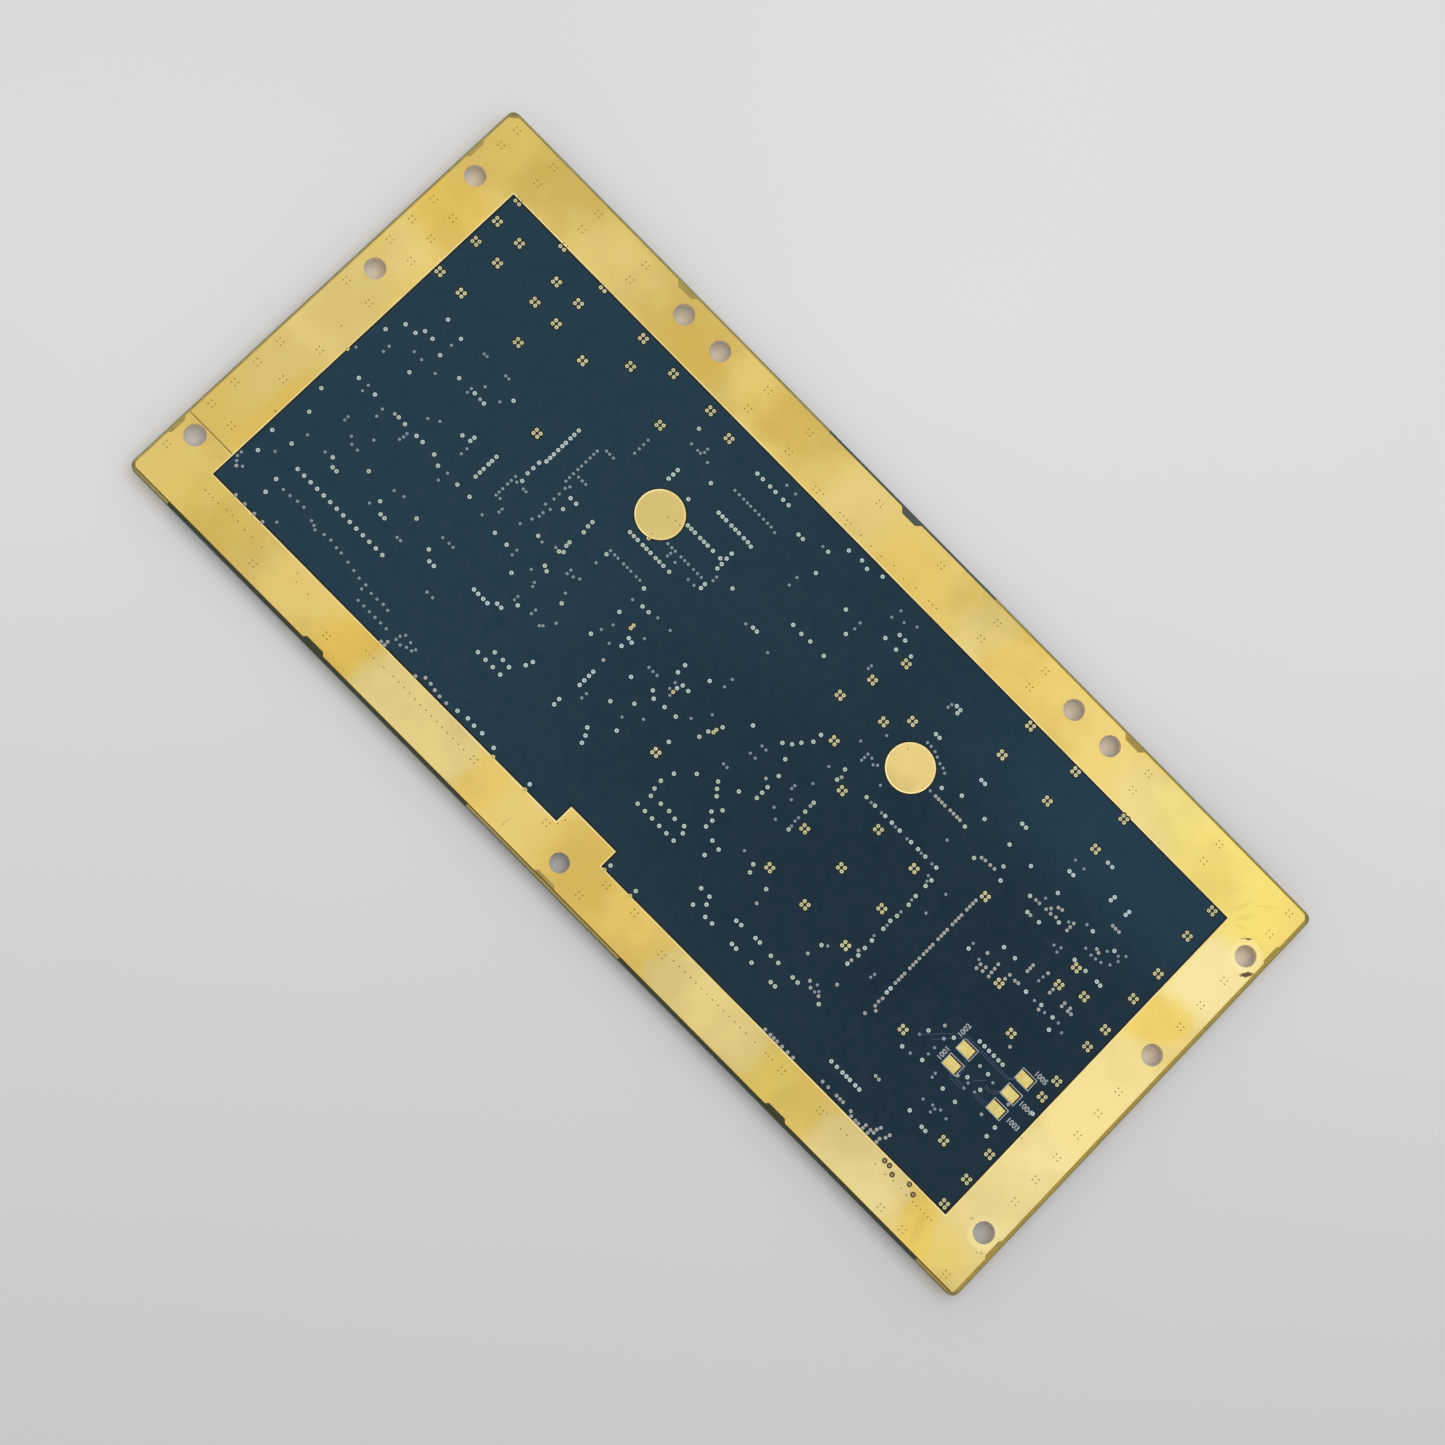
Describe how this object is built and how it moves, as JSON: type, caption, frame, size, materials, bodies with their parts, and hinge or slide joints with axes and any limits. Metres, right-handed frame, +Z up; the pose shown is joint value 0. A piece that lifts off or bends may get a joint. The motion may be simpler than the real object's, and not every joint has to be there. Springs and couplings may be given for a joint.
{
  "type": "t-con board",
  "caption": "Timing-control circuit board for a flat display, lying component side down: gold-bordered rear, film-cable and input connectors below.",
  "frame": {"origin": "on the surface that the board lies on, under the centre of the board", "axes": "+X along the long edge, +Y towards the edge with the input connector, +Z up, out of the rear solder side"},
  "size_m": [0.2214, 0.102, 0.0045],
  "materials": {
    "laminate": "woven glass-epoxy board edge, olive",
    "plated_gold": "gold-plated copper, satin, patchy",
    "solder_mask": "dark blue-green lacquer, satin gloss",
    "connector_resin": "moulded ivory resin",
    "lock_resin": "moulded black resin",
    "package_resin": "moulded black epoxy, fine matt",
    "tinned_metal": "tinned sheet metal",
    "capacitor_tan": "fired ceramic, tan, tinned ends",
    "resistor_black": "black glaze on ceramic, tinned ends",
    "pale_ceramic": "white ceramic, tinned ends",
    "inductor_grey": "pressed iron powder, dark grey"
  },
  "bodies": {
    "root": {"board_laminate": "laminate", "chip_resistors": "resistor_black", "clock_crystal": "tinned_metal", "film_connector_1_contacts": "tinned_metal", "film_connector_1_housing": "connector_resin", "film_connector_2_contacts": "tinned_metal", "film_connector_2_housing": "connector_resin", "film_connector_3_contacts": "tinned_metal", "film_connector_3_housing": "connector_resin", "film_connector_4_contacts": "tinned_metal", "film_connector_4_housing": "connector_resin", "film_connector_anchors": "tinned_metal", "flash_memory_body": "package_resin", "flash_memory_leads": "tinned_metal", "input_connector_contacts": "tinned_metal", "input_connector_housing": "connector_resin", "input_connector_shell": "tinned_metal", "input_fuse": "pale_ceramic", "large_ceramic_capacitors": "capacitor_tan", "level_shifters": "package_resin", "power_inductor_bodies": "inductor_grey", "power_inductor_clips": "tinned_metal", "power_manager": "package_resin", "rear_ground_plane": "plated_gold", "rear_solder_mask": "solder_mask", "rear_test_pads": "plated_gold", "rectifier_bodies": "package_resin", "rectifier_clips": "tinned_metal", "reference_buffer": "package_resin", "resistor_arrays": "resistor_black", "setting_memory_body": "package_resin", "setting_memory_leads": "tinned_metal", "small_ceramic_capacitors": "capacitor_tan", "storage_capacitor_bodies": "package_resin", "storage_capacitor_clips": "tinned_metal", "switching_transistor_body": "package_resin", "switching_transistor_leads": "tinned_metal", "timing_controller_body": "package_resin", "timing_controller_leads": "tinned_metal"},
    "lock_1": {"film_connector_1_lock": "lock_resin"},
    "lock_2": {"film_connector_2_lock": "lock_resin"},
    "lock_3": {"film_connector_3_lock": "lock_resin"},
    "lock_4": {"film_connector_4_lock": "lock_resin"}
  },
  "joints": [
    {"name": "lock_1_flip", "type": "hinge", "parent": "root", "child": "lock_1", "pos_m": [-0.0835, -0.0475, 0.0008], "axis": [1, 0, 0], "range_deg": [0, 90]},
    {"name": "lock_2_flip", "type": "hinge", "parent": "root", "child": "lock_2", "pos_m": [-0.0414, -0.0475, 0.0008], "axis": [1, 0, 0], "range_deg": [0, 90]},
    {"name": "lock_3_flip", "type": "hinge", "parent": "root", "child": "lock_3", "pos_m": [0.0414, -0.0475, 0.0008], "axis": [1, 0, 0], "range_deg": [0, 90]},
    {"name": "lock_4_flip", "type": "hinge", "parent": "root", "child": "lock_4", "pos_m": [0.0835, -0.0475, 0.0008], "axis": [1, 0, 0], "range_deg": [0, 90]}
  ]
}
